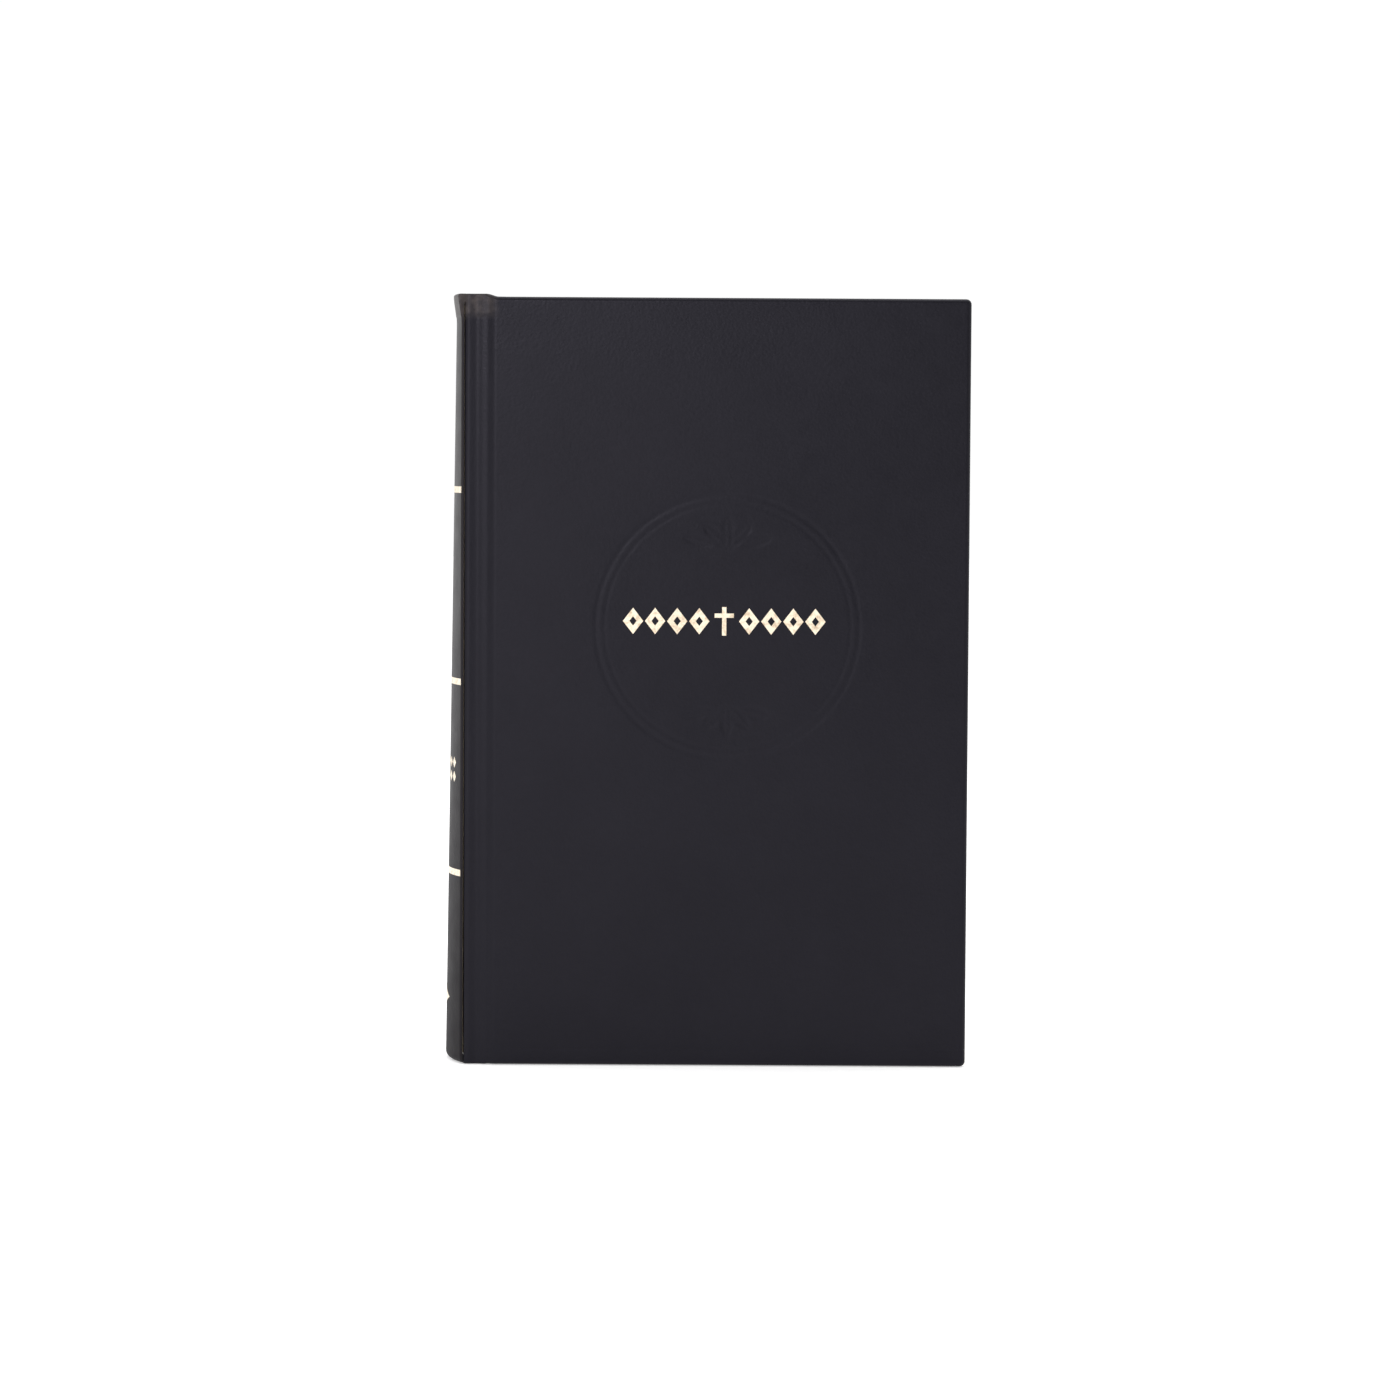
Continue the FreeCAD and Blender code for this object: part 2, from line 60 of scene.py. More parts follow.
# The head cap: its rise and flare, how far down it starts, and the edge of the leather turned
# over inside it, which shows as a faint step of this height between these two levels.
CAP_RISE, CAP_FLARE, CAP_DEPTH = 0.8, 0.85, 9.0
STEP_HEIGHT, STEP_LEVELS = 0.1, (210.2, 210.9)

# The block: how far the covers stand past it, and its rounded back and hollow fore-edge.
SQUARE, BLOCK_HALF, BLOCK_RISE = 3.0, 12.5, 1.6
BLOCK_RADIUS = (BLOCK_HALF ** 2 + BLOCK_RISE ** 2) / (2 * BLOCK_RISE)
BLOCK_ARC_X = CREASE_X + 1.85 - BLOCK_RISE + BLOCK_RADIUS
SIGNATURES = 12

# The leaves that turn at each end: the flyleaf and LEAVES more, each folded further in.
# FORE_ARC_X is the middle of the arc that their fore-edges and the block's lie on.
LEAVES, FLYLEAF_Y, LEAF_PITCH = 5, 14.2, 0.3
LEAF_X, LEAF_STEP, LEAF_HALF = CREASE_X + 2.55, 0.5, 0.06
FORE_ARC_X = RIGHT - SQUARE + math.sqrt(BLOCK_RADIUS ** 2 - FLYLEAF_Y ** 2)

# The stamped emblem's middle and radius, half of the finer grid round it, and its depth.
EMBLEM_X, EMBLEM_Z, EMBLEM_R = 6.0, 123.9, 37.0
EMBLEM_REACH, EMBLEM_DEPTH = 39.5, 0.08


def smooth(low, high, x):
    """0 at low and 1 at high, with a soft start and end."""
    t = np.clip((np.asarray(x, float) - low) / (high - low), 0, 1)
    return t * t * (3 - 2 * t)


def rounding(inset, radius):
    """How far a surface falls away at this distance inside an edge of this radius."""
    d = np.clip(radius - inset, 0, radius)
    return radius - np.sqrt(np.maximum(radius * radius - d * d, 0))


def through(points, x):
    """A smooth curve through (x, y) points, flat at each of its turning points."""
    px, py = np.array(points, float).T
    slope = np.zeros(len(px))
    step = np.diff(py) / np.diff(px)
    same = step[:-1] * step[1:] > 0
    slope[1:-1][same] = 2 * step[:-1][same] * step[1:][same] / (step[:-1] + step[1:])[same]
    i = np.clip(np.searchsorted(px, x) - 1, 0, len(px) - 2)
    h = px[i + 1] - px[i]
    t = np.clip((x - px[i]) / h, 0, 1)
    return ((2 * t ** 3 - 3 * t ** 2 + 1) * py[i] + (t ** 3 - 2 * t ** 2 + t) * h * slope[i]
            + (3 * t ** 2 - 2 * t ** 3) * py[i + 1] + (t ** 3 - t ** 2) * h * slope[i + 1])


def steps(*stations):
    """Places from station to station: steps(0, (10, 5), (12, 1)) goes to 10 in fives, then in ones."""
    places = [float(stations[0])]
    for end, pitch in stations[1:]:
        count = max(1, round((end - places[-1]) / pitch))
        places += list(np.linspace(places[-1], end, count + 1)[1:])
    return np.array(places)


# Distances from an edge, close together where it is rounded.
EDGE = np.array([0, 0.03, 0.1, 0.22, 0.4, 0.62, 0.86, 1.1, 1.3, 1.6])


# ---------------------------------------------------------------- meshes

def quads(index):
    """The faces of a grid of vertex numbers."""
    return np.stack([index[:-1, :-1], index[:-1, 1:], index[1:, 1:], index[1:, :-1]],
                    -1).reshape(-1, 4).tolist()


def border(index):
    """The vertex numbers round a grid, as a loop."""
    return list(index[0, :-1]) + list(index[:-1, -1]) + list(index[-1, :0:-1]) + list(index[:0:-1, 0])


def band(one, other):
    """Quads between two loops of the same length."""
    return [[one[i - 1], one[i], other[i], other[i - 1]] for i in range(len(one))]


def piece(name, points, faces, finish, slot, sharp=35):
    """A mesh object from points in millimetres, which keeps them at rest for its material."""
    mesh = bpy.data.meshes.new(name)
    points = np.asarray(points, float).reshape(-1, 3) * MM
    mesh.from_pydata(points, [], faces)
    work = bmesh.new()
    work.from_mesh(mesh)
    bmesh.ops.recalc_face_normals(work, faces=work.faces)
    work.to_mesh(mesh)
    work.free()
    mesh.polygons.foreach_set("use_smooth", [True] * len(mesh.polygons))
    mesh.set_sharp_from_angle(angle=math.radians(sharp))
    rest = mesh.attributes.new("rest", "FLOAT_VECTOR", "POINT")
    rest.data.foreach_set("vector", points.astype(np.float32).ravel())
    mesh.materials.append(finish)
    obj = bpy.data.objects.new(name, mesh)
    bpy.context.scene.collection.objects.link(obj)
    return obj


def sheets(pairs):
    """Points and faces of closed sheets, each from the two grids of its sides."""
    points, faces, base = [], [], 0
    for one, other in pairs:
        rows, columns = one.shape[:2]
        a = base + np.arange(rows * columns).reshape(rows, columns)
        b = a + rows * columns
        faces += quads(a) + quads(b[:, ::-1]) + band(border(a), border(b))
        points += [one.reshape(-1, 3), other.reshape(-1, 3)]
        base += 2 * rows * columns
    return np.concatenate(points), faces


def grid(x, y, z):
    """A grid of points from a grid or a number for each coordinate."""
    x, y, z = np.broadcast_arrays(x, y, z)
    return np.stack([x, y, z], -1)


# ---------------------------------------------------------------- materials

def add(tree, kind, settings=None, **inputs):
    """A node with its settings and inputs; i0, i1 and so on are inputs by number."""
    node = tree.nodes.new(kind)
    for key, value in (settings or {}).items():
        setattr(node, key, value)
    for key, value in inputs.items():
        socket = node.inputs[int(key[1:])] if key[0] == "i" and key[1:].isdigit() else \
            node.inputs[key.replace("_", " ")]
        if isinstance(value, bpy.types.NodeSocket):
            tree.links.new(value, socket)
        else:
            socket.default_value = value
    return node


def blank(name, on_rest):
    """A new material, its tree, its shader, and the places that its patterns use."""
    material = bpy.data.materials.new(name)
    material.use_nodes = True
    tree = material.node_tree
    if on_rest:
        place = add(tree, "ShaderNodeAttribute", {"attribute_name": "rest"}).outputs["Vector"]
    else:
        place = add(tree, "ShaderNodeTexCoord").outputs["Object"]
    return material, tree, tree.nodes["Principled BSDF"], place


def scaled(tree, place, factors):
    """Places stretched along each axis, for a pattern with a direction."""
    return add(tree, "ShaderNodeVectorMath", {"operation": "MULTIPLY"}, i0=place, i1=factors).outputs[0]


def noise(tree, place, scale, detail=3.0, rough=0.55):
    return add(tree, "ShaderNodeTexNoise", Vector=place, Scale=scale, Detail=detail,
               Roughness=rough).outputs[0]


def ranged(tree, value, start, end, low=0.0, high=1.0):
    """A number that goes from low to high as the value goes from start to end."""
    return add(tree, "ShaderNodeMapRange", Value=value, From_Min=start, From_Max=end,
               To_Min=low, To_Max=high).outputs[0]


def between(tree, pattern, low, high):
    """A number that goes from low to high over the middle of a noise."""
    return ranged(tree, pattern, 0.3, 0.7, low, high)


def colours(tree, share, low, high, start=0.3, end=0.7):
    """A colour that goes from low to high as share goes from start to end."""
    ramp = add(tree, "ShaderNodeValToRGB", Fac=share)
    ramp.color_ramp.elements[0].position = start
    ramp.color_ramp.elements[1].position = end
    ramp.color_ramp.elements[0].color = (*low, 1)
    ramp.color_ramp.elements[1].color = (*high, 1)
    return ramp.outputs[0]


def relief(tree, shader, height, depth, strength=1.0):
    """Bumps from a pattern, this many millimetres deep."""
    bump = add(tree, "ShaderNodeBump", Height=height, Distance=depth * MM, Strength=strength)
    tree.links.new(bump.outputs[0], shader.inputs["Normal"])


def total(tree, a, b, kind="ADD"):
    """The sum of two numbers, or what another kind of sum makes of them."""
    return add(tree, "ShaderNodeMath", {"operation": kind}, i0=a, i1=b).outputs[0]


def leather(name, dark, light, gloss, dull_tail=0.0):
    """Grained leather, rougher by dull_tail at the tail of the book, where it stands on a shelf."""
    material, tree, shader, place = blank(name, True)
    split = add(tree, "ShaderNodeSeparateXYZ", Vector=place)
    across, level = split.outputs[0], split.outputs[2]
    # the head cap and the top of the joint get lighter, warmer patches: partly wear where the book is
    # pulled from a shelf, partly painted highlight standing in for light on the crumpled leather there
    high = ranged(tree, level, (HEIGHT - 6.5) * MM, (HEIGHT - 4.0) * MM)
    left = ranged(tree, across, (CREASE_X + 10.8) * MM, (CREASE_X + 7.3) * MM)
    patchy = ranged(tree, noise(tree, place, 420.0, 4.0, 0.6), 0.42, 0.7, 0.22, 0.62)
    # where the patches go: partly wear, partly painted highlight
    rub_and_highlight = total(tree, total(tree, high, left, "MULTIPLY"), patchy, "MULTIPLY")
    cloudy = colours(tree, noise(tree, place, 28.0, 4.0, 0.6), dark, light)
    shade = add(tree, "ShaderNodeMix", {"data_type": "RGBA"}, i0=rub_and_highlight, i6=cloudy, i7=RUBBED_AND_HIGHLIT_LEATHER)
    tree.links.new(shade.outputs[2], shader.inputs["Base Color"])
    dull = ranged(tree, level, 130.0 * MM, 10.0 * MM, 0.0, dull_tail)
    rough = total(tree, between(tree, noise(tree, place, 160.0), 0.37, 0.45), dull)
    tree.links.new(rough, shader.inputs["Roughness"])
    shader.inputs["Specular IOR Level"].default_value = gloss
    shader.inputs["Specular Tint"].default_value = (0.88, 0.845, 1.0, 1)
    cells = add(tree, "ShaderNodeTexVoronoi", {"feature": "SMOOTH_F1"}, Vector=place, Scale=1250.0,
                Smoothness=0.7).outputs[0]
    grain = total(tree, total(tree, cells, 0.6, "MULTIPLY"), noise(tree, place, 900.0, 5.0, 0.6))
    relief(tree, shader, grain, 0.07, 0.6)
    return material


def foil(name, low, high):
    """Gold leaf, a little worn by rubbing."""
    material, tree, shader, place = blank(name, False)
    rub = noise(tree, place, 700.0, 4.0, 0.65)
    tree.links.new(colours(tree, rub, low, high, 0.32, 0.55), shader.inputs["Base Color"])
    shader.inputs["Metallic"].default_value = 0.55
    tree.links.new(between(tree, noise(tree, place, 320.0), 0.3, 0.5), shader.inputs["Roughness"])
    relief(tree, shader, noise(tree, place, 1500.0), 0.02, 0.5)
    return material


def paper(name, low, high, fibre=900.0, on_rest=True, depth=0.02):
    """Paper or board, cloudy, with fibres along its height."""
    material, tree, shader, place = blank(name, on_rest)
    cloud = noise(tree, place, 45.0, 5.0, 0.6)
    fibres = noise(tree, scaled(tree, place, (1.0, 1.0, 0.25)), fibre, 4.0, 0.7)
    tree.links.new(colours(tree, total(tree, cloud, total(tree, fibres, 0.25, "MULTIPLY")), low, high,
                           0.45, 0.85), shader.inputs["Base Color"])
    shader.inputs["Roughness"].default_value = 0.82
    relief(tree, shader, fibres, depth, 0.5)
    return material


def page_edges(name, low, high):
    """Paper whose edges show the leaves as fine lines along the block."""
    material, tree, shader, place = blank(name, True)
    lines = noise(tree, scaled(tree, place, (8.0, 6500.0, 8.0)), 1.0, 2.0, 0.6)
    broad = noise(tree, scaled(tree, place, (14.0, 1100.0, 14.0)), 1.0, 3.0, 0.6)
    both = total(tree, total(tree, lines, 0.6, "MULTIPLY"), total(tree, broad, 0.4, "MULTIPLY"))
    tree.links.new(colours(tree, both, low, high, 0.38, 0.6), shader.inputs["Base Color"])
    shader.inputs["Roughness"].default_value = 0.8
    relief(tree, shader, both, 0.06, 0.6)
    return material


def woven(name, low, high, threads, on_rest=False):
    """Threads that cross in the plane of the spine."""
    material, tree, shader, place = blank(name, on_rest)
    def ripple(direction):
        return add(tree, "ShaderNodeTexWave", {"bands_direction": direction}, Vector=place,
                   Scale=threads, Distortion=0.6, Detail=1.0).outputs[1]
    both = total(tree, ripple("Z"), ripple("Y"), "MAXIMUM")
    tree.links.new(colours(tree, both, low, high, 0.2, 0.8), shader.inputs["Base Color"])
    shader.inputs["Roughness"].default_value = 0.9
    relief(tree, shader, both, 0.1, 0.7)
    return material


# the lighter, warmer colour of those patches: partly rubbed leather, partly painted highlight
RUBBED_AND_HIGHLIT_LEATHER = (0.075, 0.062, 0.056, 1)
BLACK = leather("leather", (0.0034, 0.0032, 0.0052), (0.0052, 0.0049, 0.0074), 0.2)
# the spine's leather is the cover's leather painted lighter: painted light for the glancing light the spine
# catches from the left
LIT_SPINE_BLACK = leather("spine_leather", (0.0085, 0.0075, 0.0078), (0.0130, 0.0112, 0.0115), 0.19, 0.26)
GOLD = foil("foil", (0.56, 0.43, 0.29), (0.86, 0.74, 0.58))
PALE_GOLD = foil("spine_foil", (0.60, 0.49, 0.35), (0.92, 0.82, 0.66))
GREYBOARD = paper("greyboard", (0.24, 0.21, 0.17), (0.36, 0.32, 0.26), 500.0, False, 0.08)
CARD = paper("spine_card", (0.26, 0.22, 0.16), (0.38, 0.33, 0.25), 600.0, False, 0.06)
KRAFT = paper("kraft", (0.33, 0.21, 0.11), (0.46, 0.31, 0.18), 700.0, False, 0.04)
GLUE = paper("spine_glue", (0.62, 0.57, 0.44), (0.80, 0.75, 0.62), 260.0, False, 0.1)
MULL = woven("mull", (0.42, 0.39, 0.32), (0.78, 0.75, 0.67), 500.0)
THREAD = woven("thread", (0.6, 0.56, 0.48), (0.84, 0.8, 0.72), 1500.0)
BAND = woven("end_band", (0.42, 0.33, 0.17), (0.83, 0.76, 0.6), 420.0, True)
ENDPAPER = paper("endpaper", (0.745, 0.715, 0.64), (0.785, 0.755, 0.685))
PAGE = page_edges("page", (0.60, 0.56, 0.47), (0.83, 0.80, 0.72))
LEAF = paper("leaf", (0.79, 0.76, 0.69), (0.825, 0.80, 0.735), 1200.0)

for names, finish in ((["front_board", "back_board"], GREYBOARD), (["spine_inlay"], CARD),
                      (["spine_lining"], KRAFT), (["spine_glue"], GLUE), (["sewing_thread"], THREAD),
                      (["spine_mull", "front_hinge_cloth", "back_hinge_cloth"], MULL),
                      (["front_foil_ornament"], GOLD),
                      (["spine_foil_bands", "spine_foil_rows", "spine_foil_mark"], PALE_GOLD)):
    for name in names:
        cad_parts[name].data.materials.clear()
        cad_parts[name].data.materials.append(finish)


# ---------------------------------------------------------------- covers

# Depth below the board's face, by distance from the spine's crease: a rounded edge, a low ridge,
# a shallow groove, and a long rise to the board.
JOINT_PROFILE = [(0.76, 2.6), (0.88, 1.5), (1.2, 1.26), (2.0, 1.06), (4.2, 1.2), (6.0, 0.88),
                 (7.0, 0.76), (9.8, 0.0)]


def leaf_mark(x, z, cx, cz, lean, length, width):
    """1 inside a pointed leaf with a vein down its middle, 0 outside it."""
    along = (x - cx) * math.sin(lean) + (z - cz) * math.cos(lean)
    across = (x - cx) * math.cos(lean) - (z - cz) * math.sin(lean)
    half = width / 2 * (1 - (2 * along / length) ** 2)
    return smooth(-0.25, 0.3, half - np.abs(across)) * (0.35 + 0.65 * smooth(0.1, 0.45, np.abs(across)))


def emblem(x, z):
    """A blind-stamped mark: two rings, and a sprig at the top and the bottom of the inner one."""
    r = np.hypot(x - EMBLEM_X, z - EMBLEM_Z)
    outer_ring = smooth(0.8, 0.35, np.abs(r - EMBLEM_R))
    inner_ring = 0.8 * smooth(0.6, 0.2, np.abs(r - EMBLEM_R + 2.4))
    mark = np.maximum(outer_ring, inner_ring)
    for hand in (-1, 1):
        for lean, reach in ((0.0, 0.0), (0.75, 1.6), (-0.75, 1.6), (1.35, 4.2), (-1.35, 4.2)):
            cz = EMBLEM_Z + hand * (26.5 - 0.55 * reach)
            cx = EMBLEM_X + math.copysign(2.4 * reach ** 0.85 if reach else 0.0, lean)
            mark = np.maximum(mark, leaf_mark(x, z, cx, cz, hand * lean, 9.5, 3.6))
    return mark


def cover_skin(side, sign, finish):
    """The covering leather over one board and its joint, as one closed skin."""
    front = side == "front"
    # rows and columns are closer where the shape changes: at the joint, the edges, the line along
    # the tail, the turned-over edge, and the emblem, which only the front has
    fine = 0.45 if front else 6.0
    joint = steps(CREASE_X + JOINT_PROFILE[0][0], (CREASE_X + 1.3, 0.09), (BOARD_X + 2.3, 0.26))
    board = steps(joint[-1], (EMBLEM_X - EMBLEM_REACH, 2.2), (EMBLEM_X + EMBLEM_REACH, fine),
                  (RIGHT - 2.0, 2.2))
    levels = steps(2.0, (6.0, 0.3), (EMBLEM_Z - EMBLEM_REACH, 2.4), (EMBLEM_Z + EMBLEM_REACH, fine),
                   (206.0, 2.4), (210.0, 0.8), (211.2, 0.2), (HEIGHT - 2.0, 0.8))
    x, z = np.meshgrid(np.concatenate([joint, board[1:], RIGHT - EDGE[::-1]]),
                       np.concatenate([EDGE, levels, HEIGHT - EDGE[::-1]]))
    corner = 1.5
    end = np.minimum(z, HEIGHT - z)
    share = (x - x[:, :1]) / (x[:, -1:] - x[:, :1])
    x = x - share ** 6 * rounding(end, corner)
    # distance to the edge of a rectangle with rounded corners on its fore-edge
    inset = np.minimum(end, RIGHT - x)
    near = (end < corner) & (RIGHT - x < corner)
    inset = np.where(near, corner - np.hypot(corner - end, corner - (RIGHT - x)), inset)
    inset = np.maximum(inset, 0)
    reach = x - CREASE_X
    on_board = smooth(6.6, 7.8, reach)
    drop = through(JOINT_PROFILE, reach) + rounding(inset, 0.5 + 0.75 * on_board)
    # a faint line tooled along the tail
    drop += 0.05 * smooth(0.45, 0.1, np.abs(z - 4.5)) * on_board
    drop -= STEP_HEIGHT * smooth(*STEP_LEVELS, z) * (1 - on_board)
    if front:
        drop += EMBLEM_DEPTH * emblem(x, z)
    lift = CAP_RISE * (1 - smooth(7.0, 10.5, reach)) * smooth(HEIGHT - CAP_DEPTH, HEIGHT, z)
    outer = grid(x, sign * (FACE - drop), z + lift)
    inside = np.where(on_board > 0.5, COVER_INSIDE, FACE - through(JOINT_PROFILE, reach) - LEATHER)
    inside = np.maximum(inside, COVER_INSIDE) + 0.25 * smooth(0.4, 0.0, inset)
    inner = grid(x, sign * inside, z + lift)

    # past the joint's columns, the side on the board is one flat face with a rim round it
    rows, columns = x.shape
    a = np.arange(rows * columns).reshape(rows, columns)
    b = a + rows * columns
    kept = len(joint)
    faces = quads(a) + quads(b[:, :kept][:, ::-1]) + band(border(a), border(b))
    faces.append(border(b[1:-1, kept - 1:-1]))
    rim = b[:2, kept - 1:], b[-2:, kept - 1:], b[1:-1, -2:]
    faces += [face for part in rim for face in quads(part[:, ::-1])]
    points = np.concatenate([outer.reshape(-1, 3), inner.reshape(-1, 3)])
    used = np.unique(np.concatenate([np.ravel(f) for f in faces]))
    renumber = np.full(len(points), -1)
    renumber[used] = np.arange(len(used))
    faces = [[int(renumber[i]) for i in f] for f in faces]
    obj = piece(f"{side}_cover_skin", points[used], faces, finish, "leather", 40)
    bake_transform(obj)
    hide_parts(f"{side}_cover_leather")


def pastedown(side, sign):
    """The endpaper's pasted half, from its fold across the joint and over the board."""
    # its thickness, its place at the fold, how far it goes down to the board, and how far it
    # stands up over the leather that is turned in round the board
    ply, fold_y, sink, ledge = 0.09, 14.38, 0.22, 0.09
    x, z = np.meshgrid(steps(LEAF_X - 0.15, (BOARD_X + 1.5, 0.35), (RIGHT - 18, 4.0), (RIGHT - 16, 0.5),
                             (RIGHT - SQUARE, 3.0)),
                       steps(SQUARE, (12.5, 3.0), (16, 0.5), (HEIGHT - 16, 8.0), (HEIGHT - 12.5, 0.5),
                             (HEIGHT - SQUARE, 3.0)))
    inset = np.minimum(np.minimum(z, HEIGHT - z), RIGHT - x)
    bare = smooth(TURN_IN - 0.5, TURN_IN + 0.5, inset) * smooth(BOARD_X, BOARD_X + 2, x)
    seen = fold_y + sink * smooth(LEAF_X, BOARD_X, x) + ledge * bare
    pair = grid(x, sign * seen, z), grid(x, sign * (seen + ply), z)
    obj = piece(f"{side}_pasted_endpaper", *sheets([pair]), ENDPAPER, "endpaper")
    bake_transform(obj)
    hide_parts(f"{side}_pastedown")


def leaves(side, sign):
    """The flyleaf and the leaves under it, slightly wavy, each from its fold to the fore-edge."""
    for index in range(LEAVES + 1):
        name = f"{side}_flyleaf" if index == 0 else f"{side}_leaf_{index}"
        middle = FLYLEAF_Y - index * LEAF_PITCH
        fold = LEAF_X + index * LEAF_STEP
        end = FORE_ARC_X - math.sqrt(BLOCK_RADIUS ** 2 - middle ** 2)
        share = steps(0.0, (0.3, 0.012), (1.0, 0.03))
        x, z = np.meshgrid(fold + share * (end - fold), np.linspace(SQUARE, HEIGHT - SQUARE, 22))
        wave = 0.035 * np.sin(z / 31 + 1.1) * smooth(0, 60, x - fold)
        pair = [grid(x, sign * (middle + wave + half), z) for half in (LEAF_HALF, -LEAF_HALF)]
        finish, slot = (ENDPAPER, "endpaper") if index == 0 else (LEAF, "page")
        obj = piece(f"{name}_sheet", *sheets([pair]), finish, slot)
        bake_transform(obj)
        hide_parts(name)


# ---------------------------------------------------------------- spine

def spine_point(share, level, offset):
    """A point of the case spine's curve; share goes from -1 at one crease to 1 at the other."""
    places = []
    for rise in (RISE_TAIL, RISE_HEAD):
        radius = (SPINE_HALF ** 2 + rise ** 2) / (2 * rise)
        centre = CREASE_X - rise + radius
        angle = share * math.asin(SPINE_HALF / radius)
        places.append((centre - (radius + offset) * np.cos(angle), (radius + offset) * np.sin(angle)))
    t = level / HEIGHT
    return (places[0][0] * (1 - t) + places[1][0] * t, places[0][1] * (1 - t) + places[1][1] * t)


def spine_skin():
    """The covering leather over the spine, with a head cap turned over at the top."""
    top = HEIGHT + CAP_RISE
    half_arc = 18.0
    levels = steps(2.2, (5.0, 0.4), (205.0, 4.0), (210.0, 0.6), (211.2, 0.2), (top - 2.4, 0.5))
    share, z = np.meshgrid(np.concatenate([-1 + EDGE / half_arc, steps(-0.9, (0.9, 0.03)),
                                           1 - EDGE[::-1] / half_arc]),
                           np.concatenate([EDGE, levels, top - EDGE[::-1]]))
    flare = CAP_FLARE * smooth(top - CAP_DEPTH, top - 0.3, z) ** 1.4 + STEP_HEIGHT * smooth(*STEP_LEVELS, z)
    fall = rounding(z, 2.0) + rounding(top - z, 0.5)
    edge = rounding((1 - np.abs(share)) * half_arc, 0.5)
    # the turned ends are double, and the long edges reach the joint's leather
    thick = LEATHER + 0.55 * np.maximum(smooth(4.0, 1.6, z), smooth(top - 3.4, top - 1.4, z))
    hem = 0.12 + 0.1 * z / HEIGHT * smooth(0.95, 1.0, np.abs(share))
    x, y = spine_point(share, z, flare - fall - edge)
    outer = grid(x, np.clip(y, -SPINE_HALF, SPINE_HALF), z)
    ends = 0.3 * rounding(np.minimum(z, top - z), 0.4)
    x, y = spine_point(share, z, -np.maximum(thick - ends, fall - flare + edge + hem))
    inner = grid(x, np.clip(y, -SPINE_HALF, SPINE_HALF), z)
    obj = piece("spine_skin", *sheets([(outer, inner)]), LIT_SPINE_BLACK, "spine_leather", 40)
    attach(obj, "text_block")
    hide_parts("spine_leather")


def end_band(name, level, up):
    """Thread worked over a cord along the folds at one end of the block."""
    cord, bulge, thread_pitch, stand = 0.66, 0.05, 0.42, 0.8
    reach = math.asin(BLOCK_HALF / BLOCK_RADIUS) * 0.99
    along, turn = np.meshgrid(np.linspace(-reach, reach, 260), np.linspace(0, 2 * math.pi, 17)[:-1],
                              indexing="ij")
    wound = along * BLOCK_RADIUS / thread_pitch * 2 * math.pi
    radius = cord + bulge * np.cos(wound + turn)
    lean = radius * np.cos(turn)
    x = BLOCK_ARC_X - (BLOCK_RADIUS + lean) * np.cos(along)
    y = (BLOCK_RADIUS + lean) * np.sin(along)
    z = level + up * stand + radius * np.sin(turn)
    rows, columns = x.shape
    index = np.arange(rows * columns).reshape(rows, columns)
    looped = np.concatenate([index, index[:, :1]], 1)
    faces = quads(looped) + [list(map(int, index[0])), list(map(int, index[-1]))]
    obj = piece(f"{name}_woven", grid(x, y, z), faces, BAND, "band", 60)
    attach(obj, "text_block")
    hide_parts(name)


# ---------------------------------------------------------------- page block

def signatures():
    """Sections of the block, each a pack of leaves with slightly uneven edges."""
    rng = np.random.default_rng(7)
    pitch, packs = 2 * BLOCK_HALF / SIGNATURES, 9
    for index in range(SIGNATURES):
        pairs = []
        for pack in range(packs):
            low = -BLOCK_HALF + pitch * (index + pack / packs)
            high = low + pitch / packs - 0.012
            out, head, tail = rng.uniform(-0.06, 0.05), rng.uniform(-0.05, 0.04), rng.uniform(-0.03, 0.05)
            if pack in (0, packs - 1):
                out, head, tail = out - 0.05, head - 0.05, tail + 0.05
            phase = rng.uniform(0, 6)
            sides = []
            for y in (low, high):
                start = BLOCK_ARC_X - math.sqrt(BLOCK_RADIUS ** 2 - y ** 2)
                stop = FORE_ARC_X - math.sqrt(BLOCK_RADIUS ** 2 - y ** 2) + out
                x, z = np.meshgrid(np.array([0, 0.06, 0.5, 0.94, 1.0]), np.linspace(0, 1, 23))
                sway = 0.03 * np.sin(z * 11 + phase) + 0.02 * np.sin(z * 29 + 2 * phase)
                sides.append(grid(start + x * (stop - start) + sway * smooth(0.9, 1, x), y,
                                  SQUARE + tail + z * (HEIGHT - 2 * SQUARE + head - tail)))
            pairs.append(sides)
        obj = piece(f"section_{index + 1:02d}", *sheets(pairs), PAGE, "page", 30)
        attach(obj, "text_block")
        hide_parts(f"signature_{index + 1:02d}")


for side, sign in (("front", -1), ("back", 1)):
    cover_skin(side, sign, BLACK)
    pastedown(side, sign)
    leaves(side, sign)
spine_skin()
end_band("head_band", HEIGHT - SQUARE, 1)
end_band("tail_band", SQUARE, -1)
signatures()


# ---------------------------------------------------------------- studio

# The floor's and the lamps' places and sizes are in metres.

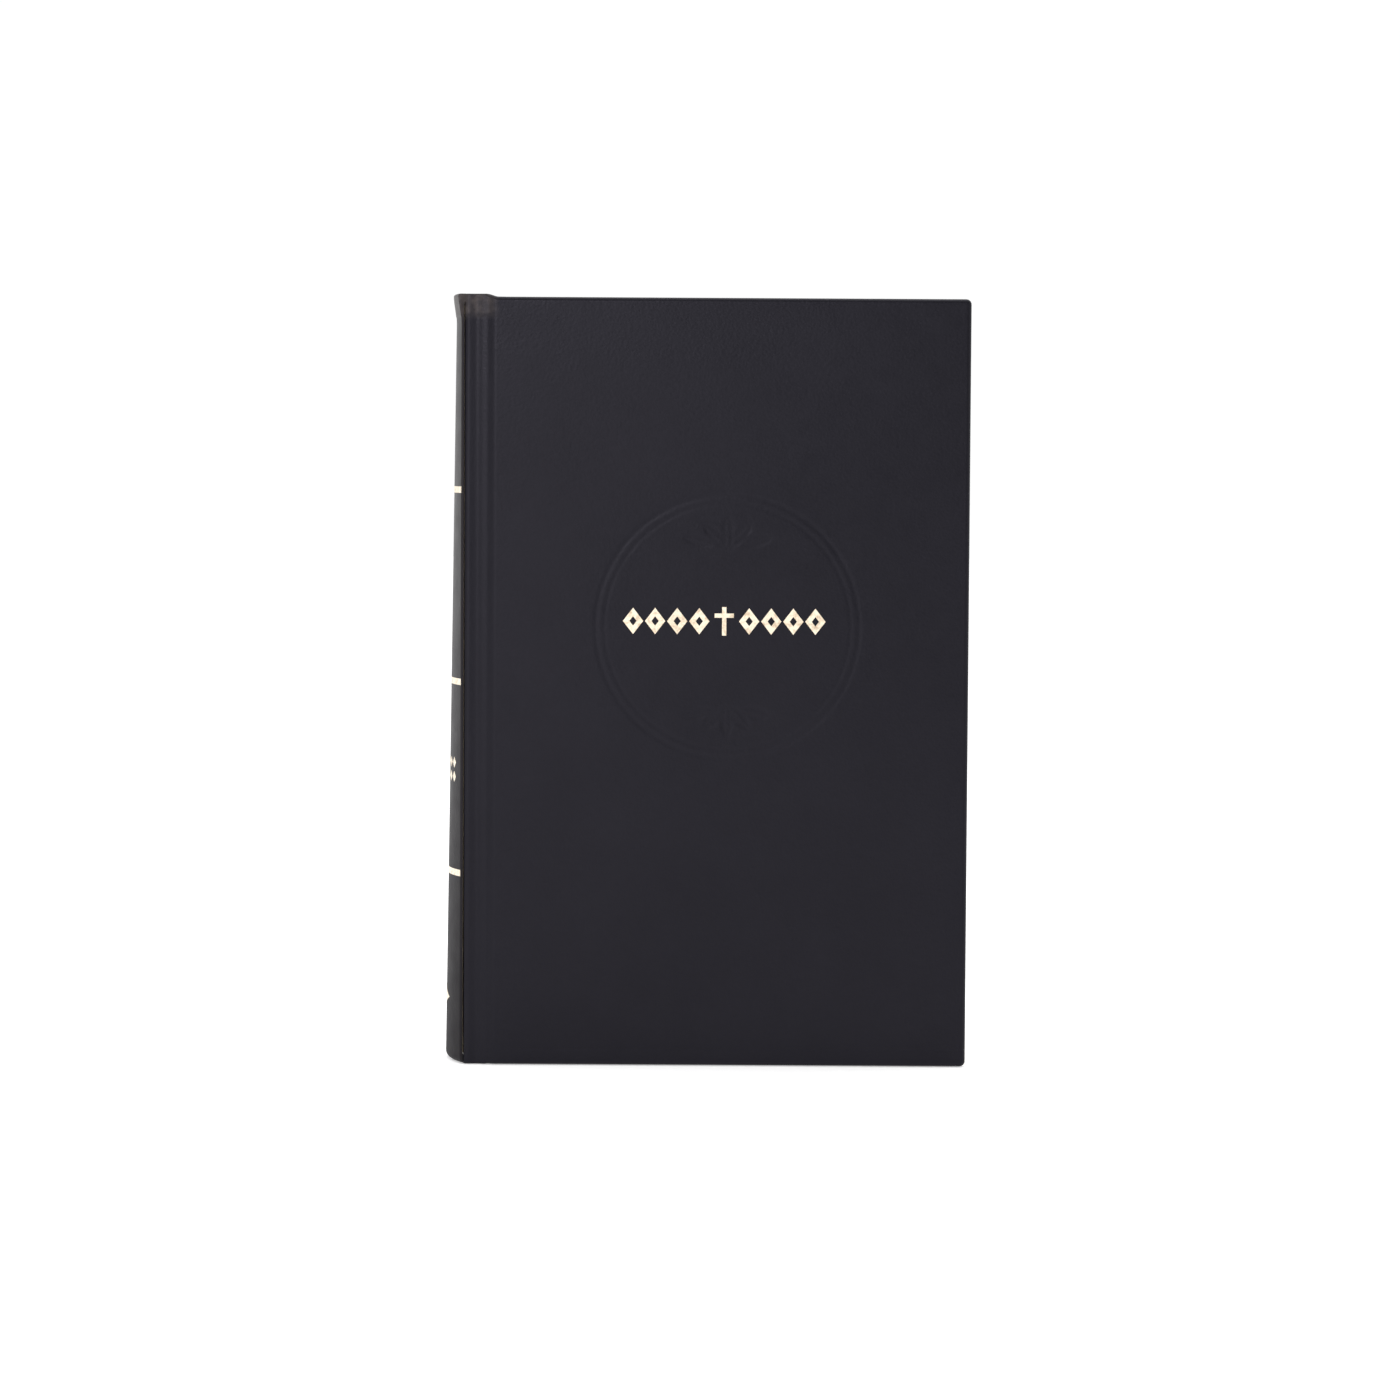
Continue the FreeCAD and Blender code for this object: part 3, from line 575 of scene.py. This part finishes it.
def white_floor():
    """A white floor that glows a little, so that no horizon shows."""
    far = 6.0
    corners = [(-far, -far, 0), (far, -far, 0), (far, far, 0), (-far, far, 0)]
    floor_mesh = bpy.data.meshes.new("floor")
    floor_mesh.from_pydata(corners, [], [(0, 1, 2, 3)])
    floor = bpy.data.objects.new("floor", floor_mesh)
    material, tree, shader, place = blank("floor", False)
    tint = noise(tree, place, 6.0)
    tree.links.new(colours(tree, tint, (0.90, 0.90, 0.90), (0.93, 0.93, 0.93)), shader.inputs["Base Color"])
    shader.inputs["Roughness"].default_value = 0.9
    shader.inputs["Specular IOR Level"].default_value = 0.0
    shader.inputs["Emission Color"].default_value = (1.0, 1.0, 1.0, 1)
    shader.inputs["Emission Strength"].default_value = 0.34
    floor_mesh.materials.append(material)
    bpy.context.scene.collection.objects.link(floor)
    floor.location.z = -0.2 * MM


def lighting():
    """A bright surround that is dark in front of the book, and three lamps."""
    world = bpy.data.worlds.new("world")
    world.use_nodes = True
    bpy.context.scene.world = world
    tree = world.node_tree
    place = add(tree, "ShaderNodeTexCoord").outputs["Generated"]
    split = add(tree, "ShaderNodeSeparateXYZ", Vector=place)
    strength = add(tree, "ShaderNodeMapRange", {"interpolation_type": "SMOOTHSTEP"}, Value=split.outputs[1],
                   From_Min=-0.95, From_Max=-0.25, To_Min=0.22, To_Max=1.02).outputs[0]
    sky = tree.nodes["Background"]
    sky.inputs["Color"].default_value = (1.0, 1.0, 1.0, 1)
    tree.links.new(strength, sky.inputs["Strength"])

    for name, place, size, power in (("key", (-0.32, -1.05, 0.47), 0.3, 4.9),
                                     ("side", (-1.1, 0.2, 1.1), 0.6, 2.0),
                                     ("top", (0.2, 0.3, 1.6), 1.4, 9.0)):
        lamp = bpy.data.lights.new(name, "AREA")
        lamp.size, lamp.energy = size, power
        holder = bpy.data.objects.new(name, lamp)
        holder.location = place
        holder.rotation_euler = (Vector((0, 0, 0.11)) - Vector(place)).to_track_quat("-Z", "Y").to_euler()
        bpy.context.scene.collection.objects.link(holder)


def camera():
    """A long lens in front of the book, a little above it and slightly tilted."""
    lens = bpy.data.cameras.new("camera")
    lens.sensor_width, lens.lens = 36.0, 110.0
    obj = bpy.data.objects.new("camera", lens)
    eye, aim = Vector((-1.6, -1218.0, 172.0)) * MM, Vector((-1.6, -18.0, 103.35)) * MM
    turn = (aim - eye).to_track_quat("-Z", "Y") @ Quaternion((0, 0, 1), math.radians(0.32))
    obj.location = eye
    obj.rotation_euler = turn.to_euler()
    bpy.context.scene.collection.objects.link(obj)
    bpy.context.scene.camera = obj


white_floor()
lighting()
camera()
bpy.context.scene.view_settings.view_transform = "Standard"
